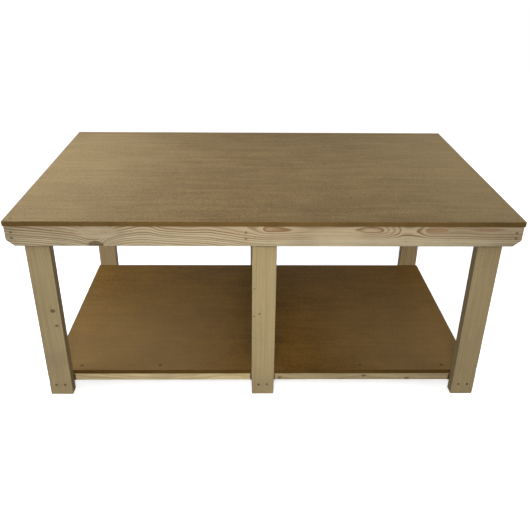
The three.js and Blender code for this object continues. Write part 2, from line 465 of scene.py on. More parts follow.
    def _knot(self) -> bpy.types.NodeTree:
        """Make a branch knot that runs in from the face.

        Returns:
            A group that gives the knot's mask, its dark rim and fine rings, and the lift of the rings round it.
        """
        ports = self._open(
            "branch_knot",
            {"Position": SocketKind.VECTOR, "Centre": SocketKind.VECTOR, "Size": SocketKind.VALUE,
             "Stretch": SocketKind.VALUE, "Pull": SocketKind.VALUE},
            ("Mask", "Rim", "Lift"))
        g = ports.graph
        along, across, _ = g.split(g.vector("SUBTRACT", ports.take("Position"), ports.take("Centre")))
        size = ports.take("Size")
        along = g.math("DIVIDE", along, ports.take("Stretch"))
        wobble = g.math("SUBTRACT", g.noise(g.join(along, across, 0.0), self.wobble_scale), 0.5)
        span = g.vector("LENGTH", g.join(along, across, 0.0))
        span = g.math("MULTIPLY_ADD", wobble, g.math("MULTIPLY", size, self.wobble_share), span)
        share = g.math("DIVIDE", span, size)
        mask = g.ramp(share, *self.knot_out, 1.0, 0.0)
        rim = g.math("MULTIPLY", g.ramp(share, *self.rim_in), g.ramp(share, *self.rim_out, 1.0, 0.0))
        turns = g.math("MULTIPLY", g.math("SINE", g.math("MULTIPLY", share, self.knot_turns)), mask)
        ports.give("Mask", mask)
        ports.give("Rim", g.math("MULTIPLY_ADD", turns, self.knot_turn_share, rim, clamp=True))
        away = g.math("POWER", g.math("DIVIDE", share, self.pull_reach), 2.0)
        fall = g.math("EXPONENT", g.math("MULTIPLY", away, -1.0))
        ports.give("Lift", g.math("MULTIPLY", fall, ports.take("Pull")))
        return g.tree

    def _fibres(self) -> bpy.types.NodeTree:
        """Make the fine lengthwise fibres of sawn and planed wood.

        Returns:
            A group that gives broad streaks, fine pores and a height for bump.
        """
        ports = self._open(
            "wood_fibres",
            {"Position": SocketKind.VECTOR, "Seed": SocketKind.VALUE},
            ("Streak", "Pore", "Height"))
        g = ports.graph
        seed = ports.take("Seed")
        shift = g.join(seed, seed, seed)
        wide = g.vector("ADD", g.vector("MULTIPLY", ports.take("Position"), self.streak_scale), shift)
        fine = g.vector("ADD", g.vector("MULTIPLY", ports.take("Position"), self.pore_scale), shift)
        streak = g.noise(wide, detail=4.0, roughness=0.6)
        pore = g.noise(fine, detail=3.0, roughness=0.65)
        broad = g.math("MULTIPLY", streak, 1 - self.pore_height)
        ports.give("Streak", g.ramp(streak, *self.streak_in))
        ports.give("Pore", g.ramp(pore, *self.pore_in))
        ports.give("Height", g.math("MULTIPLY_ADD", pore, self.pore_height, broad))
        return g.tree

    def _handling(self) -> bpy.types.NodeTree:
        """Make the marks of use: worn edges, blotches of grime and small dark specks.

        Returns:
            A group that gives masks for worn edges, grime and specks.
        """
        ports = self._open(
            "handling_marks",
            {"Position": SocketKind.VECTOR, "Arris": SocketKind.VALUE, "Seed": SocketKind.VALUE},
            ("Worn", "Grime", "Speck"))
        g = ports.graph
        seed = ports.take("Seed")
        shift = g.join(g.math("MULTIPLY", seed, self.mark_shift), seed, seed)
        place = g.vector("ADD", ports.take("Position"), shift)
        patch = g.ramp(g.noise(place, self.worn_scale, detail=3.0), *self.worn_in)
        ports.give("Worn", g.math("MULTIPLY", ports.take("Arris"), patch))
        grime = g.noise(place, self.grime_scale, detail=4.0, roughness=0.55)
        ports.give("Grime", g.ramp(grime, *self.grime_in))
        ports.give("Speck", g.ramp(g.noise(place, self.speck_scale, detail=1.0), *self.speck_in))
        return g.tree

    def _pressed_fibre(self) -> bpy.types.NodeTree:
        """Make the flecks and clouds of pressed fibre sheet.

        Returns:
            A group that gives fine flecks, faint streaks, broad clouds and a height for bump.
        """
        ports = self._open(
            "pressed_fibre",
            {"Position": SocketKind.VECTOR, "Seed": SocketKind.VALUE},
            ("Fleck", "Streak", "Cloud", "Height"))
        g = ports.graph
        seed = ports.take("Seed")
        place = g.vector("ADD", ports.take("Position"), g.join(seed, seed, seed))
        fleck = g.noise(g.vector("MULTIPLY", place, self.fleck_scale), detail=4.0, roughness=0.7)
        streak = g.noise(g.vector("MULTIPLY", place, self.strand_scale), detail=3.0, roughness=0.6)
        cloud = g.noise(place, self.cloud_scale, detail=6.0, roughness=0.66)
        ports.give("Fleck", g.ramp(fleck, *self.fleck_in))
        ports.give("Streak", g.ramp(streak, *self.strand_in))
        ports.give("Cloud", g.ramp(cloud, *self.cloud_in))
        ports.give("Height", fleck)
        return g.tree


class Run(Enum):
    """Which way a board's grain runs: its along, across and depth axes, each an index and a sign."""

    ALONG_X = ((0, 1.0), (2, 1.0), (1, -1.0))
    ALONG_Y = ((1, 1.0), (2, 1.0), (0, 1.0))
    ALONG_Y_FLAT = ((1, 1.0), (0, 1.0), (2, 1.0))
    ALONG_Z = ((2, 1.0), (0, 1.0), (1, -1.0))


@dataclass(frozen=True)
class Patch:
    """A soft patch on a board's face: its middle and reach along and across, in millimetres, and its strength."""

    middle: Pair
    reach: Pair
    strength: float


@dataclass(frozen=True)
class Knot:
    """A branch knot in one board, in millimetres from the board's middle."""

    along: float
    across: float
    size: float
    stretch: float = 1.6
    pull: float = 10.0


@dataclass(frozen=True)
class Grain:
    """How one board was sawn from its log, in millimetres from the board's middle.

    The pith is the log's centre line, across and deep. Its line, the profile and the crest are drawn
    as places along the board with a height at each: the pith's own height across, the lift of all
    rings, and the lift of the rings near the pith.
    """

    run: Run
    seed: float
    pith: Pair = (18.0, -55.0)
    slope: float = 0.012
    spacing: float = 7.5
    wander: float = 26.0
    figure: float = 0.4
    # An end shade below 1 darkens the sawn ends with painted shade.
    end_shade: float = 1.0
    # A shaded side darkens, with painted shade, the side faces that point along its sign, by its size.
    shaded_side: float = 0.0
    tint: Point = (0.82, 0.78, 0.69)
    pith_line: Line = ()
    profile: Line = ()
    crest: Line = ()
    flames: Tuple[Patch, ...] = ()
    plains: Tuple[Patch, ...] = ()
    knots: Tuple[Knot, ...] = ()


class Finish:
    """A procedural material for one slot of the record."""

    @staticmethod
    def begin(name: str) -> Tuple[bpy.types.Material, Graph, bpy.types.Node]:
        """Start a material.

        Args:
            name: The material's name.

        Returns:
            The material, its graph and its surface shader.
        """
        material = bpy.data.materials.new(name)
        material.use_nodes = True
        graph = Graph(material.node_tree)
        surface = next(n for n in graph.tree.nodes if n.type == "BSDF_PRINCIPLED")
        return material, graph, surface

    @staticmethod
    def place(graph: Graph, centre: Vector) -> Socket:
        """Give the position in millimetres from a centre."""
        spot = graph.add("ShaderNodeTexCoord").outputs["Object"]
        return graph.vector("MULTIPLY_ADD", spot, (MM_PER_METRE,) * 3, tuple(-MM_PER_METRE * c for c in centre))

    @staticmethod
    def arris(graph: Graph) -> Socket:
        """Give how near the surface is to an edge, as the mesh holds it."""
        return graph.add("ShaderNodeAttribute", attribute_name=ARRIS).outputs["Fac"]

    @staticmethod
    def bump(graph: Graph, surface: bpy.types.Node, height: Socket, relief: Pair) -> None:
        """Raise the surface by a height.

        Args:
            graph: The material's graph.
            surface: The shader that is raised.
            height: The height, from 0 to 1.
            relief: The height of 1 in metres, and how strongly it shows.
        """
        node = graph.add("ShaderNodeBump")
        for name, value in (("Distance", relief[0]), ("Strength", relief[1]), ("Height", height)):
            graph.feed(node.inputs[name], value)
        graph.feed(surface.inputs["Normal"], node.outputs["Normal"])


@dataclass(frozen=True)
class Pine(Finish):
    """Rough planed softwood, a little grey and grimy from use. Painted shade can darken one side face or the sawn
    ends.

    A share is how much of a mark shows where it is full. A pair named for a tone or a roughness is
    the change that a mask makes and the value without it.
    """

    effects: Effects
    slot: str = "pine"
    early: str = "C4B28A"
    late: str = "86663F"
    heart: str = "A07850"
    knot: str = "5E4A33"
    knot_rim: str = "3A2C1D"
    grime: str = "8F8061"
    speck: str = "3F3122"
    cut_end: str = "705B3A"
    # The colour that multiplies a shaded side face, as painted shade.
    painted_shade: Colour = (0.35, 0.3, 0.22, 1.0)
    heart_share: float = 0.25
    grime_share: float = 0.35
    knot_share: float = 0.82
    rim_share: float = 0.65
    end_share: float = 0.75
    worn_share: float = 0.4
    speck_share: float = 0.55
    streak_tone: Pair = (0.16, 0.9)
    pore_tone: Pair = (-0.1, 1.0)
    ring_roughness: Pair = (-0.14, 0.74)
    grime_roughness: float = 0.1
    ring_height: float = 0.35
    relief: Pair = (0.0006, 0.55)
    shine: float = 0.15
    face_depth: float = 22.5
    patch_depth: float = 60.0
    patch_in: Pair = (0.25, 0.6)
    crest_in: Pair = (-48.0, -4.0)
    crest_least: float = 0.1
    end_in: Pair = (0.6, 0.9)
    side_in: Pair = (0.5, 0.9)

    def _patch(self, g: Graph, spot: Socket, patch: Patch) -> Socket:
        """Give the mask of one soft patch.

        Args:
            g: The material's graph.
            spot: The position along, across and deep.
            patch: The patch.

        Returns:
            The mask, from 0 to the patch's strength.
        """
        node = g.group(self.effects.swirl, Position=spot, Centre=(*patch.middle, self.face_depth),
                       Reach=(*patch.reach, self.patch_depth), Height=1.0)
        return g.ramp(node.outputs["Lift"], *self.patch_in, 0.0, patch.strength)

    @staticmethod
    def _follow(g: Graph, along: Socket, drawn: Line) -> Socket:
        """Give a height that follows a drawn line along the board.

        Args:
            g: The material's graph.
            along: The position along the board, in millimetres.
            drawn: Places along the board and the height there, in millimetres.

        Returns:
            The height.
        """
        first, last = drawn[0][0], drawn[-1][0]
        low = min(height for _, height in drawn)
        span = max(height for _, height in drawn) - low
        node = g.add("ShaderNodeFloatCurve")
        points = node.mapping.curves[0].points
        for number, (place, height) in enumerate(drawn):
            spot = ((place - first) / (last - first), (height - low) / span)
            if number in (0, len(drawn) - 1):
                points[0 if number == 0 else len(points) - 1].location = spot
            else:
                points.new(*spot)
        node.mapping.update()
        g.feed(node.inputs["Value"], g.math("MULTIPLY_ADD", along, 1 / (last - first), -first / (last - first)))
        return g.math("MULTIPLY_ADD", node.outputs[0], span, low)

    def _rings(self, g: Graph, spot: Socket, grain: Grain) -> Tuple[bpy.types.Node, List[Tuple[Socket, Socket]]]:
        """Place the yearly rings of one board, bent by its knots and by its drawn lines.

        Args:
            g: The material's graph.
            spot: The position along, across and deep.
            grain: How the board was sawn.

        Returns:
            The rings' node, and the mask and rim of each knot.
        """
        along, across, depth = g.split(spot)
        lifts: List[Socket] = []
        knots: List[Tuple[Socket, Socket]] = []
        for knot in grain.knots:
            node = g.group(self.effects.knot, Position=spot, Centre=(knot.along, knot.across, 0.0),
                           Size=knot.size, Stretch=knot.stretch, Pull=knot.pull)
            lifts.append(node.outputs["Lift"])
            knots.append((node.outputs["Mask"], node.outputs["Rim"]))
        if grain.profile:
            lifts.append(self._follow(g, along, grain.profile))
        if grain.crest:
            begin, end = (grain.pith[0] + edge for edge in self.crest_in)
            near = g.ramp(across, begin, end, self.crest_least, 1.0)
            lifts.append(g.math("MULTIPLY", self._follow(g, along, grain.crest), near))
        pith = self._follow(g, along, grain.pith_line) if grain.pith_line else grain.pith[0]
        across = g.math("MULTIPLY_ADD", along, grain.slope, g.math("SUBTRACT", across, pith))
        depth = g.math("SUBTRACT", depth, grain.pith[1])
        rings = g.group(self.effects.rings, Position=g.join(along, across, depth),
                        Spacing=grain.spacing, Wander=grain.wander, Seed=grain.seed)
        if lifts:
            total = lifts[0]
            for lift in lifts[1:]:
                total = g.math("ADD", total, lift)
            g.feed(rings.inputs["Lift"], total)
        return rings, knots

    def make(self, name: str, centre: Vector, grain: Grain) -> bpy.types.Material:
        """Make the material of one board.

        Args:
            name: The board's name.
            centre: The middle of the board.
            grain: How the board was sawn.

        Returns:
            The material.
        """
        material, g, surface = self.begin(f"pine_{name}")
        raw = g.split(self.place(g, centre))
        spot = g.join(*(g.math("MULTIPLY", raw[axis], sign) for axis, sign in grain.run.value))
        rings, knots = self._rings(g, spot, grain)
        latewood = rings.outputs["Latewood"]
        fibres = g.group(self.effects.fibres, Position=spot, Seed=grain.seed)
        marks = g.group(self.effects.handling, Position=spot, Arris=self.arris(g), Seed=grain.seed)
        facing = g.split(g.add("ShaderNodeNewGeometry").outputs["Normal"])
        (end_axis, _), (side_axis, _), _ = grain.run.value

        figure = g.math("MULTIPLY", latewood, grain.figure)
        for patch in grain.plains:
            figure = g.math("MULTIPLY", figure, g.math("SUBTRACT", 1.0, self._patch(g, spot, patch)))
        colour = g.coat(shade(self.early), rings.outputs["Heart"], self.heart_share, self.heart)
        for patch in grain.flames:
            colour = g.mix(self._patch(g, spot, patch), colour, shade(self.heart))
        colour = g.mix(figure, colour, shade(self.late))
        tint = g.math("MULTIPLY", g.math("MULTIPLY_ADD", fibres.outputs["Streak"], *self.streak_tone),
                      g.math("MULTIPLY_ADD", fibres.outputs["Pore"], *self.pore_tone))
        tints = (g.math("MULTIPLY", tint, share) for share in grain.tint)
        colour = g.mix(1.0, colour, g.join(*tints), "MULTIPLY")
        colour = g.coat(colour, marks.outputs["Grime"], self.grime_share, self.grime)
        for mask, rim in knots:
            colour = g.coat(colour, mask, self.knot_share, self.knot)
            colour = g.coat(colour, rim, self.rim_share, self.knot_rim)
        # Painted shade: the side faces of one sign are darkened as if turned away from the light.
        if grain.shaded_side:
            side = g.math("MULTIPLY", facing[side_axis], math.copysign(1.0, grain.shaded_side))
            side_shaded = g.mix(1.0, colour, self.painted_shade, "MULTIPLY")
            colour = g.mix(g.ramp(side, *self.side_in, 0.0, abs(grain.shaded_side)), colour, side_shaded)
        cut = g.ramp(g.math("ABSOLUTE", facing[end_axis]), *self.end_in)
        # Painted shade: with an end shade below 1 the sawn ends are darkened fully, for ends seen only in narrow
        # shaded gaps.
        sawn = tuple(part * grain.end_shade for part in shade(self.cut_end))
        colour = g.mix(g.math("MULTIPLY", cut, self.end_share if grain.end_shade == 1.0 else 1.0), colour, sawn)
        colour = g.coat(colour, marks.outputs["Worn"], self.worn_share, self.grime)
        colour = g.coat(colour, marks.outputs["Speck"], self.speck_share, self.speck)
        g.feed(surface.inputs["Base Color"], colour)
        rough = g.math("MULTIPLY_ADD", latewood, *self.ring_roughness)
        rough = g.math("MULTIPLY_ADD", marks.outputs["Grime"], self.grime_roughness, rough, clamp=True)
        g.feed(surface.inputs["Roughness"], rough)
        surface.inputs["Specular IOR Level"].default_value = self.shine
        height = g.math("MULTIPLY_ADD", latewood, self.ring_height, fibres.outputs["Height"])
        self.bump(g, surface, height, self.relief)
        return material


@dataclass(frozen=True)
class Sheet(Finish):
    """Brown pressed fibre sheet: a smooth, grimy face and a darker sawn edge.

    Painted light, a paler colour, lies away from the sheet's middle line along X and fades towards
    the rear, leaving painted shade in the middle and at the rear. Lengths are in millimetres.
    Shares, tones and roughnesses are given as for the pine.
    """

    effects: Effects
    slot: str
    face: str
    fleck: str
    pale: str
    edge: str = "7E6236"
    edge_fleck: str = "523D1E"
    edge_streak: str = "755A30"
    edge_worn: str = "8B6F42"
    seed: float = 0.0
    shine: float = 0.1
    # The painted light: its strength, colour, middle, uneven border, spread across and fade to the rear.
    painted_light: float = 0.0
    painted_light_colour: str = "8F764E"
    painted_shade_middle: float = 70.0
    painted_light_wave: float = 60.0
    painted_light_span: Pair = (245.0, 945.0)
    painted_light_depth: Pair = (-480.0, 500.0)
    painted_light_far: float = 1.0
    # The painted shade round screw heads: its colour, reach, fade and share.
    painted_shade: str = "2E2009"
    hole_shade_reach: float = 0.0
    hole_shade_in: Pair = (0.15, 0.75)
    hole_shade_share: float = 0.85
    cloud_share: float = 0.35
    grime_share: float = 0.16
    worn_share: float = 0.5
    speck_share: float = 0.5
    streak_tone: Pair = (0.21, 0.885)
    cloud_roughness: Pair = (0.12, 0.66)
    fleck_roughness: float = 0.06
    relief: Pair = (0.0003, 0.5)
    edge_seed: float = 5.0
    edge_stretch: Point = (1.0, 1.0, 4.0)
    edge_streak_share: float = 0.3
    edge_worn_share: float = 0.6
    edge_grime_share: float = 0.4
    edge_roughness: Pair = (0.1, 0.8)
    edge_relief: Pair = (0.0007, 0.7)

    def _painted_light(self, g: Graph, spot: Socket, cloud: Socket) -> Socket:
        """Give the mask of the painted light on the face.

        Args:
            g: The material's graph.
            spot: The position on the sheet.
            cloud: The sheet's clouds, which make the painted light's border uneven.

        Returns:
            The mask.
        """
        x, y, _ = g.split(spot)
        aside = g.math("ABSOLUTE", g.math("SUBTRACT", x, self.painted_shade_middle))
        aside = g.math("MULTIPLY_ADD", cloud, self.painted_light_wave, aside)
        return g.math("MULTIPLY", g.ramp(aside, *self.painted_light_span, 0.0, self.painted_light),
                      g.ramp(y, *self.painted_light_depth, 1.0, self.painted_light_far))

    def make_face(self, name: str, centre: Vector, screws: Sequence[Point]) -> bpy.types.Material:
        """Make the material of the two broad faces.

        Args:
            name: The sheet's name.
            centre: The middle of the sheet.
            screws: Where screw heads lie, in millimetres from the middle, with painted shade round them.

        Returns:
            The material.
        """
        material, g, surface = self.begin(f"{name}_face")
        spot = self.place(g, centre)
        fibre = g.group(self.effects.pressed, Position=spot, Seed=self.seed).outputs
        marks = g.group(self.effects.handling, Position=spot, Arris=self.arris(g), Seed=self.seed).outputs
        colour = g.mix(fibre["Fleck"], shade(self.fleck), shade(self.face))
        colour = g.coat(colour, fibre["Cloud"], self.cloud_share, self.pale)
        tint = g.math("MULTIPLY_ADD", fibre["Streak"], *self.streak_tone)
        colour = g.mix(1.0, colour, g.join(tint, tint, tint), "MULTIPLY")
        colour = g.coat(colour, marks["Grime"], self.grime_share, self.fleck)
        # Painted light: a paler colour away from the middle line and the rear, leaving painted shade there.
        if self.painted_light:
            colour = g.mix(self._painted_light(g, spot, fibre["Cloud"]), colour, shade(self.painted_light_colour))
        # Painted shade: a dark ring round each screw head, as if in the shadow of a sunk hole.
        for screw in screws if self.hole_shade_reach else ():
            hole_shade = g.group(self.effects.swirl, Position=spot, Centre=screw, Reach=(self.hole_shade_reach,) * 3, Height=1.0)
            ring = g.ramp(hole_shade.outputs["Lift"], *self.hole_shade_in, 0.0, self.hole_shade_share)
            colour = g.mix(ring, colour, shade(self.painted_shade))
        colour = g.coat(colour, marks["Worn"], self.worn_share, self.edge)
        colour = g.coat(colour, marks["Speck"], self.speck_share, self.edge_fleck)
        g.feed(surface.inputs["Base Color"], colour)
        rough = g.math("MULTIPLY_ADD", fibre["Cloud"], *self.cloud_roughness)
        g.feed(surface.inputs["Roughness"], g.math("MULTIPLY_ADD", fibre["Fleck"], self.fleck_roughness, rough))
        surface.inputs["Specular IOR Level"].default_value = self.shine
        self.bump(g, surface, fibre["Height"], self.relief)
        return material

    def make_edge(self, name: str, centre: Vector) -> bpy.types.Material:
        """Make the material of the sawn edges and the drilled craters.

        Args:
            name: The sheet's name.
            centre: The middle of the sheet.

        Returns:
            The material.
        """
        material, g, surface = self.begin(f"{name}_edge")
        spot, seed = self.place(g, centre), self.seed + self.edge_seed
        layers = g.vector("MULTIPLY", spot, self.edge_stretch)
        fibre = g.group(self.effects.pressed, Position=layers, Seed=seed).outputs
        marks = g.group(self.effects.handling, Position=spot, Arris=self.arris(g), Seed=seed).outputs
        colour = g.mix(fibre["Fleck"], shade(self.edge_fleck), shade(self.edge))
        colour = g.coat(colour, fibre["Streak"], self.edge_streak_share, self.edge_streak)
        colour = g.coat(colour, marks["Worn"], self.edge_worn_share, self.edge_worn)
        colour = g.coat(colour, marks["Grime"], self.edge_grime_share, self.edge_fleck)
        g.feed(surface.inputs["Base Color"], colour)
        g.feed(surface.inputs["Roughness"], g.math("MULTIPLY_ADD", fibre["Fleck"], *self.edge_roughness))
        surface.inputs["Specular IOR Level"].default_value = self.shine
        self.bump(g, surface, fibre["Height"], self.edge_relief)
        return material


@dataclass(frozen=True)
class ScrewMetal(Finish):
    """Yellow-passivated steel, dulled, and darkened by painted shade wherever the mesh says so."""

    effects: Effects
    slot: str = "screw"
    bright: str = "AA966C"
    dull: str = "8C7852"
    grime: str = "3A2F1C"
    # The near-black of the painted shade in the cross recess and on sunk heads.
    hole_shade: str = "1C150C"
    grime_share: float = 0.6
    mark_scale: float = 9.0
    mark_seed: float = 3.0
    fleck_scale: float = 7.0
    fleck_seed: float = 8.0
    metal: Pair = (-0.45, 0.45)
    shade_roughness: Pair = (0.3, 0.55)
    fleck_roughness: float = -0.15
    shine: float = 0.1
    relief: Pair = (0.0001, 0.4)

    def make(self) -> bpy.types.Material:
        """Make the one material that all screws share.

        Returns:
            The material.
        """
        material, g, surface = self.begin("screw_metal")
        spot, shade_mask = self.place(g, Vector((0.0, 0.0, 0.0))), self.arris(g)
        marks = g.group(self.effects.handling, Position=g.vector("MULTIPLY", spot, (self.mark_scale,) * 3),
                        Arris=shade_mask, Seed=self.mark_seed)
        fibre = g.group(self.effects.pressed, Position=g.vector("MULTIPLY", spot, (self.fleck_scale,) * 3),
                        Seed=self.fleck_seed)
        fleck = fibre.outputs["Fleck"]
        colour = g.mix(fleck, shade(self.dull), shade(self.bright))
        colour = g.coat(colour, marks.outputs["Grime"], self.grime_share, self.grime)
        # Painted shade: the recess, and the heads of sunk screws, are darkened as if in shadow.
        colour = g.mix(shade_mask, colour, shade(self.hole_shade))
        g.feed(surface.inputs["Base Color"], colour)
        g.feed(surface.inputs["Metallic"], g.math("MULTIPLY_ADD", shade_mask, *self.metal))
        rough = g.math("MULTIPLY_ADD", shade_mask, *self.shade_roughness)
        g.feed(surface.inputs["Roughness"], g.math("MULTIPLY_ADD", fleck, self.fleck_roughness, rough))
        surface.inputs["Specular IOR Level"].default_value = self.shine
        self.bump(g, surface, fibre.outputs["Height"], self.relief)
        return material


@dataclass(frozen=True)
class Chip:
    """A knock out of an edge: its place in metres, how far it spreads and how deep it bites."""

    place: Point
    spread: float
    bite: float


@dataclass
class BoardMesh:
    """A sawn board with worn, rounded edges, as a closed grid of faces, in metres.

    The end cut is how long and how high the lower end corners are cut off.
    """

    low: Vector
    high: Vector
    round_over: float
    seed: int
    step: float = 0.045
    chips: Tuple[Chip, ...] = ()
    end_cut: Optional[Pair] = None
    round_middle: float = 0.586
    shoulder: float = 0.002
    chip_lines: Tuple[float, ...] = (-1.6, -0.9, -0.4, 0.0, 0.4, 0.9, 1.6)
    cut_lines: Tuple[float, ...] = (-0.0025, 0.0, 0.0025)
    cut_zone: float = 0.06
    closest: float = 0.00012
    wave_scale: float = 17.0
    wave_share: float = 0.35
    wave_shift: Point = (7.3, 1.7, 0.0)
    fine_scale: float = 90.0
    fine_share: float = 0.2
    fine_shift: Point = (0.0, 3.1, 0.0)
    usual_round: float = 0.78
    least_round: float = 0.45
    most_round: float = 0.4
    edge_start: float = 0.4

    def _stations(self, axis: int) -> List[float]:
        """Give where the grid's lines lie, closer together at edges and knocks.

        Args:
            axis: The axis that the lines are spread along.

        Returns:
            The lines' places, in order.
        """
        low, high = self.low[axis], self.high[axis]
        edge = [0.0, self.round_middle * self.round_over, self.round_over, self.round_over + self.shoulder]
        inner = high - low - 2 * edge[-1]
        count = max(2, int(round(inner / self.step)))
        spots = {round(low + e, 6) for e in edge} | {round(high - e, 6) for e in edge}
        spots |= {round(low + edge[-1] + inner * i / count, 6) for i in range(1, count)}
        for chip in self.chips:
            for part in self.chip_lines:
                spot = chip.place[axis] + part * chip.spread
                if low + edge[-1] < spot < high - edge[-1]:
                    spots.add(round(spot, 6))
        if self.end_cut and axis == 2:
            spots |= {round(low + self.end_cut[1] + part, 6) for part in self.cut_lines}
        ordered = sorted(spots)
        kept = [ordered[0]]
        for spot in ordered[1:]:
            if spot - kept[-1] > self.closest or spot == ordered[-1]:
                kept.append(spot)
        return kept

    def _worn_radius(self, spot: Vector) -> float:
        """Give the rounding of the edge nearest to a point, which wear and knocks change.

        Args:
            spot: The point.

        Returns:
            The radius.
        """
        wave = noise.noise(spot * self.wave_scale + self.seed * Vector(self.wave_shift))
        fine = noise.noise(spot * self.fine_scale + self.seed * Vector(self.fine_shift))
        share = self.usual_round + self.wave_share * wave + self.fine_share * fine
        radius = self.round_over * min(1.0, max(self.least_round, share))
        for chip in self.chips:
            gap = (spot - Vector(chip.place)).length / chip.spread
            radius += chip.bite * math.exp(-gap * gap)
        return min(radius, self.most_round * min(self.high - self.low))

    def _shape(self, spot: Vector) -> Tuple[Vector, float]:
        """Round one point of the sharp box.

        Args:
            spot: The point.

        Returns:
            Where the point comes to lie, and how near an edge it is, from 0 to 1.
        """
        radius = self._worn_radius(spot)
        inner = Vector(min(max(spot[i], self.low[i] + radius), self.high[i] - radius) for i in range(3))
        out = spot - inner
        shaped = inner + out.normalized() * radius if out.length > 1e-9 else spot.copy()
        gaps = sorted(min(spot[i] - self.low[i], self.high[i] - spot[i]) for i in range(3))
        band = (1 - self.edge_start) * self.round_over + self.shoulder
        away = (gaps[1] - self.edge_start * self.round_over) / band
        return shaped, 1.0 - min(1.0, max(0.0, away))

    def _slant(self, spot: Vector) -> Vector:
        """Draw a rail's lower end corners in, so that its ends slope under.

        Args:
            spot: A point of the board.

        Returns:
            The point, moved where it lies in a corner.
        """
        if not self.end_cut:
            return spot
        length, height = self.end_cut
        below = min(1.0, max(0.0, 1.0 - (spot.z - self.low.z) / height))
        for side in (-1, 1):
            end = self.high.x if side > 0 else -self.low.x
            into = (side * spot.x - (end - self.cut_zone)) / self.cut_zone
            if into > 0:
                spot.x -= side * length * below * min(1.0, into)
        return spot

    def build(self, name: str) -> bpy.types.Object:
        """Make the board as an object.

        Args:
            name: The object's name.

        Returns:
            The object, whose points hold how near an edge they are.
        """
        lines = [self._stations(axis) for axis in range(3)]
        counts = [len(line) - 1 for line in lines]
        index: Dict[Tuple[int, int, int], int] = {}
        spots: List[Vector] = []
        nearness: List[float] = []

        def point(key: Tuple[int, int, int]) -> int:
            """Give a grid point, made on first use.

            Args:
                key: The point's line along each axis.

            Returns:
                The point's number in the mesh.
            """
            if key not in index:
                shaped, near = self._shape(Vector(lines[axis][key[axis]] for axis in range(3)))
                index[key] = len(spots)
                spots.append(self._slant(shaped))
                nearness.append(near)
            return index[key]

        faces: List[Tuple[int, ...]] = []
        for axis in range(3):
            u, v = (axis + 1) % 3, (axis + 2) % 3
            for end in (0, counts[axis]):
                for i in range(counts[u]):
                    for j in range(counts[v]):
                        corners = []
                        for a, b in ((i, j), (i + 1, j), (i + 1, j + 1), (i, j + 1)):
                            key = [0, 0, 0]
                            key[axis], key[u], key[v] = end, a, b
                            corners.append(point((key[0], key[1], key[2])))
                        faces.append(tuple(corners if end else reversed(corners)))
        mesh = bpy.data.meshes.new(name)
        mesh.from_pydata(spots, [], faces)
        mesh.update()
        mark(mesh, nearness)
        return link(name, mesh)


def lathe(profile: Sequence[Pair], sides: int, ragged: float = 0.0, seed: int = 0) -> bmesh.types.BMesh:
    """Turn a profile round the Z axis into a closed mesh.

    Args:
        profile: Radius and height of each ring in millimetres, from the top down. The end rings are closed.
        sides: How many sides each ring has.
        ragged: How far a ring's radius strays, as a share of it.
        seed: What the straying starts from.

    Returns:
        The mesh, in metres.
    """
    stray_rate, stray_step = 1.7, 3.7
    body = bmesh.new()
    rings = []
    for radius, height in ((r * MM, z * MM) for r, z in profile):
        ring = []
        for side in range(sides):
            angle = math.tau * side / sides
            where = (math.cos(angle) * stray_rate, math.sin(angle) * stray_rate, seed * stray_step)
            size = radius * (1 + ragged * noise.noise(Vector(where)))
            ring.append(body.verts.new((size * math.cos(angle), size * math.sin(angle), height)))
        rings.append(ring)
    stack(body, rings)
    return body


def stack(body: bmesh.types.BMesh, rings: Sequence[Sequence[bmesh.types.BMVert]]) -> None:
    """Join rings of points, from the top down, into a closed wall with two ends.

    Args:
        body: The mesh that holds the points.
        rings: The rings, each with as many points.
    """
    for upper, lower in zip(rings, rings[1:]):
        for side in range(len(upper)):
            after = (side + 1) % len(upper)
            body.faces.new((upper[side], lower[side], lower[after], upper[after]))
    body.faces.new(rings[0])
    body.faces.new(list(reversed(rings[-1])))


def carve(piece: bpy.types.Object, cutter: bpy.types.Object) -> None:
    """Cut one closed mesh out of another and drop the cutter.

    Args:
        piece: The piece that is cut.
        cutter: What is cut out of it.
    """
    tool = piece.modifiers.new("carve", "BOOLEAN")
    tool.operation, tool.solver, tool.object = "DIFFERENCE", "EXACT", cutter
    graph = bpy.context.evaluated_depsgraph_get()
    carved = bpy.data.meshes.new_from_object(piece.evaluated_get(graph))
    piece.modifiers.clear()
    old, piece.data = piece.data, carved
    carved.name = old.name
    bpy.data.meshes.remove(old)
    waste = cutter.data
    bpy.data.objects.remove(cutter)
    bpy.data.meshes.remove(waste)


def smooth(mesh: bpy.types.Mesh, angle: float) -> None:
    """Shade a mesh smooth except where faces meet at more than an angle in degrees."""
    mesh.shade_smooth()
    mesh.set_sharp_from_angle(angle=math.radians(angle))


def settle(piece: bpy.types.Object, slot: str, node: Optional[str]) -> None:
    """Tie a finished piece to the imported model.

    Args:
        piece: The finished piece.
        slot: The record's slot that its finish belongs to.
        node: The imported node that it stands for, if any.
    """
    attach(piece, ROOT)
    if node:
        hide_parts(node)
    LOG.info("%s: %d faces, slot %s", piece.name, len(piece.data.polygons), slot)


class Stock(Enum):
    """The countersunk screws: head and shank diameter and length, in millimetres."""

    FRAME = (10.0, 5.0, 90.0)
    LEG = (12.0, 6.0, 110.0)
    TOP = (8.0, 4.0, 35.0)
    SHELF = (8.0, 4.0, 40.0)


